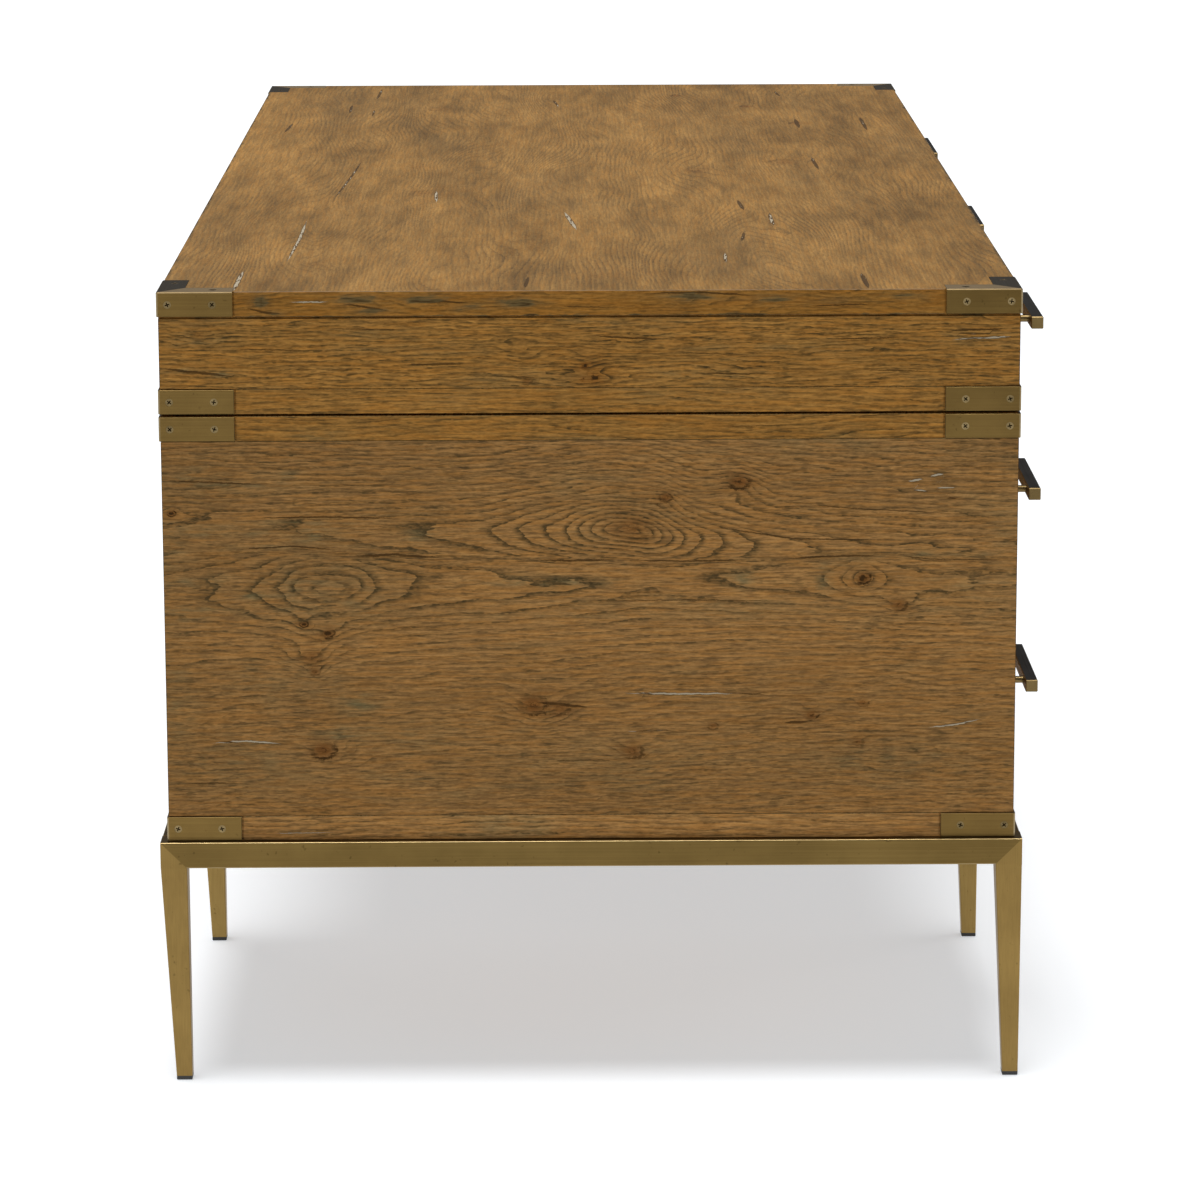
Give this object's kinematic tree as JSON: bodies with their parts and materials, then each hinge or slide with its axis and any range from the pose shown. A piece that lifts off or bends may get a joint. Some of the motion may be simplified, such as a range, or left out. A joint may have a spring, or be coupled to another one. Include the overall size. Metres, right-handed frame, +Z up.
{
  "type": "campaign desk",
  "caption": "Pedestal campaign desk in rustic oak with let-in brass corner straps, inset sliding drawers with bar pulls, and a tapered-leg brass base under each pedestal.",
  "frame": {"origin": "on the floor, under the middle of the whole desk's box", "axes": "+X along the desk's length, to the right of a seated user's back-to-front view of the drawer fronts; -Y is the drawer side; +Z up"},
  "size_m": [1.692, 0.856, 0.774],
  "materials": {
    "oak_top": "rustic oak, matte oil, filled cracks",
    "oak_case": "rustic oak, matte oil, filled cracks",
    "oak_drawer_front": "rustic oak, matte oil",
    "drawer_box_wood": "clear satin lacquer",
    "strap_brass": "aged brass, brushed",
    "base_brass": "aged brass, brushed",
    "handle_brass": "aged brass, brushed",
    "screw_brass": "aged brass",
    "slide_steel": "zinc plated",
    "bolt_steel": "black oxide",
    "pad_felt": "black compressed pad",
    "glide_plastic": "dark brown moulded plastic"
  },
  "bodies": {
    "desk": {"top_slab": "oak_top", "upper_bottom_board": "oak_case", "upper_end_panels": "oak_case", "upper_partitions": "oak_case", "upper_back_panel": "oak_case", "top_corner_brackets": "strap_brass", "upper_case_straps": "strap_brass", "pedestal_straps": "strap_brass", "bracket_screws": "screw_brass", "spacer_pads": "pad_felt", "base_rails": "base_brass", "base_legs": "base_brass", "glides": "glide_plastic", "assembly_bolts": "bolt_steel", "slide_cabinet_members": "slide_steel", "pedestal_left_top_board": "oak_case", "pedestal_left_bottom_board": "oak_case", "pedestal_left_sides": "oak_case", "pedestal_left_back_panel": "oak_case", "pedestal_left_dust_board": "oak_case", "pedestal_right_top_board": "oak_case", "pedestal_right_bottom_board": "oak_case", "pedestal_right_sides": "oak_case", "pedestal_right_back_panel": "oak_case", "pedestal_right_dust_board": "oak_case"},
    "top_left_drawer": {"top_left_drawer_front": "oak_drawer_front", "top_left_drawer_box": "drawer_box_wood", "top_left_drawer_handle": "handle_brass", "top_left_drawer_slide_inners": "slide_steel"},
    "top_left_drawer_middles": {"top_left_drawer_slide_middles": "slide_steel"},
    "top_centre_drawer": {"top_centre_drawer_front": "oak_drawer_front", "top_centre_drawer_box": "drawer_box_wood", "top_centre_drawer_handle": "handle_brass", "top_centre_drawer_slide_inners": "slide_steel"},
    "top_centre_drawer_middles": {"top_centre_drawer_slide_middles": "slide_steel"},
    "top_right_drawer": {"top_right_drawer_front": "oak_drawer_front", "top_right_drawer_box": "drawer_box_wood", "top_right_drawer_handle": "handle_brass", "top_right_drawer_slide_inners": "slide_steel"},
    "top_right_drawer_middles": {"top_right_drawer_slide_middles": "slide_steel"},
    "left_upper_drawer": {"left_upper_drawer_front": "oak_drawer_front", "left_upper_drawer_box": "drawer_box_wood", "left_upper_drawer_handle": "handle_brass", "left_upper_drawer_slide_inners": "slide_steel"},
    "left_upper_drawer_middles": {"left_upper_drawer_slide_middles": "slide_steel"},
    "left_lower_drawer": {"left_lower_drawer_front": "oak_drawer_front", "left_lower_drawer_box": "drawer_box_wood", "left_lower_drawer_handle": "handle_brass", "left_lower_drawer_slide_inners": "slide_steel"},
    "left_lower_drawer_middles": {"left_lower_drawer_slide_middles": "slide_steel"},
    "right_upper_drawer": {"right_upper_drawer_front": "oak_drawer_front", "right_upper_drawer_box": "drawer_box_wood", "right_upper_drawer_handle": "handle_brass", "right_upper_drawer_slide_inners": "slide_steel"},
    "right_upper_drawer_middles": {"right_upper_drawer_slide_middles": "slide_steel"},
    "right_lower_drawer": {"right_lower_drawer_front": "oak_drawer_front", "right_lower_drawer_box": "drawer_box_wood", "right_lower_drawer_handle": "handle_brass", "right_lower_drawer_slide_inners": "slide_steel"},
    "right_lower_drawer_middles": {"right_lower_drawer_slide_middles": "slide_steel"}
  },
  "joints": [
    {"name": "top_left_drawer_slide", "type": "slide", "parent": "desk", "child": "top_left_drawer", "axis": [0, -1, 0], "range_m": [0, 0.48]},
    {"name": "top_left_drawer_middles_slide", "type": "slide", "parent": "desk", "child": "top_left_drawer_middles", "axis": [0, -1, 0], "range_m": [0, 0.24]},
    {"name": "top_centre_drawer_slide", "type": "slide", "parent": "desk", "child": "top_centre_drawer", "axis": [0, -1, 0], "range_m": [0, 0.48]},
    {"name": "top_centre_drawer_middles_slide", "type": "slide", "parent": "desk", "child": "top_centre_drawer_middles", "axis": [0, -1, 0], "range_m": [0, 0.24]},
    {"name": "top_right_drawer_slide", "type": "slide", "parent": "desk", "child": "top_right_drawer", "axis": [0, -1, 0], "range_m": [0, 0.48]},
    {"name": "top_right_drawer_middles_slide", "type": "slide", "parent": "desk", "child": "top_right_drawer_middles", "axis": [0, -1, 0], "range_m": [0, 0.24]},
    {"name": "left_upper_drawer_slide", "type": "slide", "parent": "desk", "child": "left_upper_drawer", "axis": [0, -1, 0], "range_m": [0, 0.48]},
    {"name": "left_upper_drawer_middles_slide", "type": "slide", "parent": "desk", "child": "left_upper_drawer_middles", "axis": [0, -1, 0], "range_m": [0, 0.24]},
    {"name": "left_lower_drawer_slide", "type": "slide", "parent": "desk", "child": "left_lower_drawer", "axis": [0, -1, 0], "range_m": [0, 0.48]},
    {"name": "left_lower_drawer_middles_slide", "type": "slide", "parent": "desk", "child": "left_lower_drawer_middles", "axis": [0, -1, 0], "range_m": [0, 0.24]},
    {"name": "right_upper_drawer_slide", "type": "slide", "parent": "desk", "child": "right_upper_drawer", "axis": [0, -1, 0], "range_m": [0, 0.48]},
    {"name": "right_upper_drawer_middles_slide", "type": "slide", "parent": "desk", "child": "right_upper_drawer_middles", "axis": [0, -1, 0], "range_m": [0, 0.24]},
    {"name": "right_lower_drawer_slide", "type": "slide", "parent": "desk", "child": "right_lower_drawer", "axis": [0, -1, 0], "range_m": [0, 0.48]},
    {"name": "right_lower_drawer_middles_slide", "type": "slide", "parent": "desk", "child": "right_lower_drawer_middles", "axis": [0, -1, 0], "range_m": [0, 0.24]}
  ],
  "couplings": [
    {"joint": "top_left_drawer_middles_slide", "follows": "top_left_drawer_slide", "ratio": 0.5},
    {"joint": "top_centre_drawer_middles_slide", "follows": "top_centre_drawer_slide", "ratio": 0.5},
    {"joint": "top_right_drawer_middles_slide", "follows": "top_right_drawer_slide", "ratio": 0.5},
    {"joint": "left_upper_drawer_middles_slide", "follows": "left_upper_drawer_slide", "ratio": 0.5},
    {"joint": "left_lower_drawer_middles_slide", "follows": "left_lower_drawer_slide", "ratio": 0.5},
    {"joint": "right_upper_drawer_middles_slide", "follows": "right_upper_drawer_slide", "ratio": 0.5},
    {"joint": "right_lower_drawer_middles_slide", "follows": "right_lower_drawer_slide", "ratio": 0.5}
  ]
}
